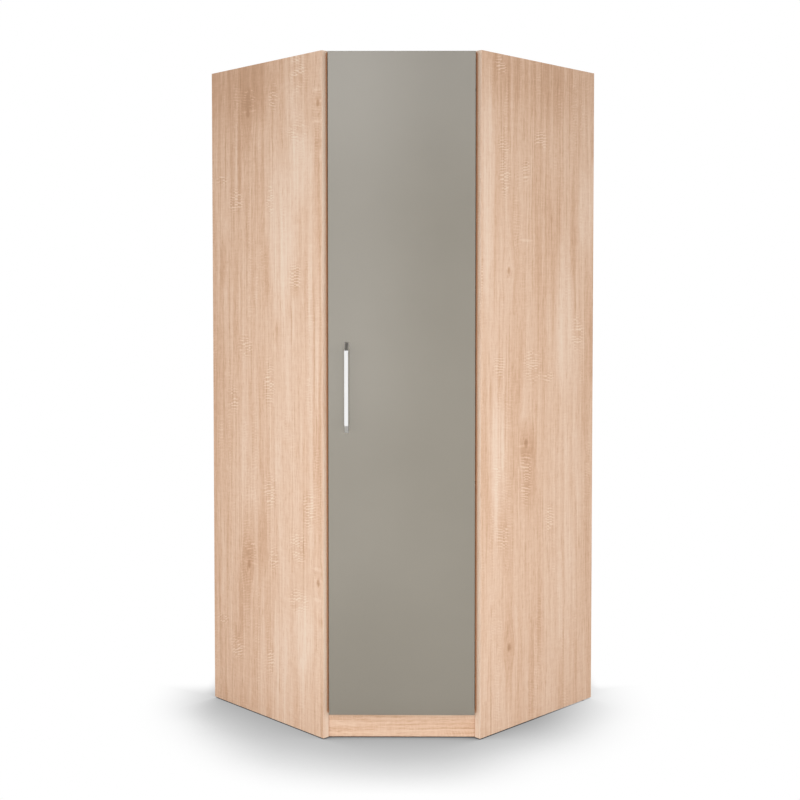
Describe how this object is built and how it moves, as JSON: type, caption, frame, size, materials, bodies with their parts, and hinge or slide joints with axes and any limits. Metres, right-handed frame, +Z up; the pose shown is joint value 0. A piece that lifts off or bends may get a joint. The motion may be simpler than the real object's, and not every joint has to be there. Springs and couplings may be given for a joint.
{
  "type": "corner wardrobe",
  "caption": "Corner wardrobe with a pentagonal plan: oak-effect side panels and plinth, and one plain grey gloss door on the diagonal with a bow handle.",
  "frame": {"origin": "on the floor, in the middle of the overall box", "axes": "+Z up, front door faces -Y, room corner at +Y"},
  "size_m": [1.2728, 1.0634, 2.1],
  "materials": {
    "carcass_board": "matt oak-effect melamine, vertical grain",
    "edge_band": "oak-effect edge strip",
    "back_board": "thin fibreboard with oak-effect face",
    "dowel_wood": "fluted beech",
    "rail_chrome": "polished tube",
    "black_plastic": "moulded",
    "bracket_metal": "plated die-cast",
    "zinc_steel": "zinc plated",
    "door_gloss": "high-gloss foil on fibreboard",
    "handle_chrome": "polished",
    "clear_rubber": "soft clear pads",
    "hinge_nickel": "nickel plated steel"
  },
  "bodies": {
    "root": {"left_side_panel": "carcass_board", "right_side_panel": "carcass_board", "top_panel": "carcass_board", "bottom_panel": "carcass_board", "plinth": "carcass_board", "corner_post": "carcass_board", "hat_shelf": "carcass_board", "left_edge_band": "edge_band", "right_edge_band": "edge_band", "top_edge_band": "edge_band", "bottom_edge_band": "edge_band", "shelf_edge_band": "edge_band", "left_back_panel": "back_board", "right_back_panel": "back_board", "panel_dowels": "dowel_wood", "post_dowels": "dowel_wood", "plinth_dowels": "dowel_wood", "hanging_rail": "rail_chrome", "rail_end_caps": "black_plastic", "glides": "black_plastic", "rail_bracket_left": "bracket_metal", "rail_bracket_right": "bracket_metal", "plinth_bracket_left": "zinc_steel", "plinth_bracket_right": "zinc_steel", "wall_bracket_left": "zinc_steel", "wall_bracket_right": "zinc_steel", "cam_bolts": "zinc_steel", "cam_locks": "zinc_steel", "back_panel_nails": "zinc_steel", "wall_bracket_screws": "zinc_steel", "plinth_bracket_screws": "zinc_steel", "rail_bracket_screws": "zinc_steel", "hinge_plate_screws": "zinc_steel", "hinge_arm_screws": "zinc_steel", "shelf_pins": "zinc_steel", "hinge_arm_1": "hinge_nickel", "hinge_plate_1": "hinge_nickel", "hinge_arm_2": "hinge_nickel", "hinge_plate_2": "hinge_nickel", "hinge_arm_3": "hinge_nickel", "hinge_plate_3": "hinge_nickel", "hinge_arm_4": "hinge_nickel", "hinge_plate_4": "hinge_nickel"},
    "door": {"door_panel": "door_gloss", "door_handle": "handle_chrome", "handle_screws": "zinc_steel", "door_bumpers": "clear_rubber", "hinge_pins": "zinc_steel", "hinge_cup_screws": "zinc_steel", "hinge_cup_1": "hinge_nickel", "hinge_cup_2": "hinge_nickel", "hinge_cup_3": "hinge_nickel", "hinge_cup_4": "hinge_nickel"}
  },
  "joints": [
    {"name": "door_hinge", "type": "hinge", "parent": "root", "child": "door", "pos_m": [0.21486, -0.49469, 1.0875], "axis": [0, 0, 1], "range_deg": [0, 95]}
  ]
}
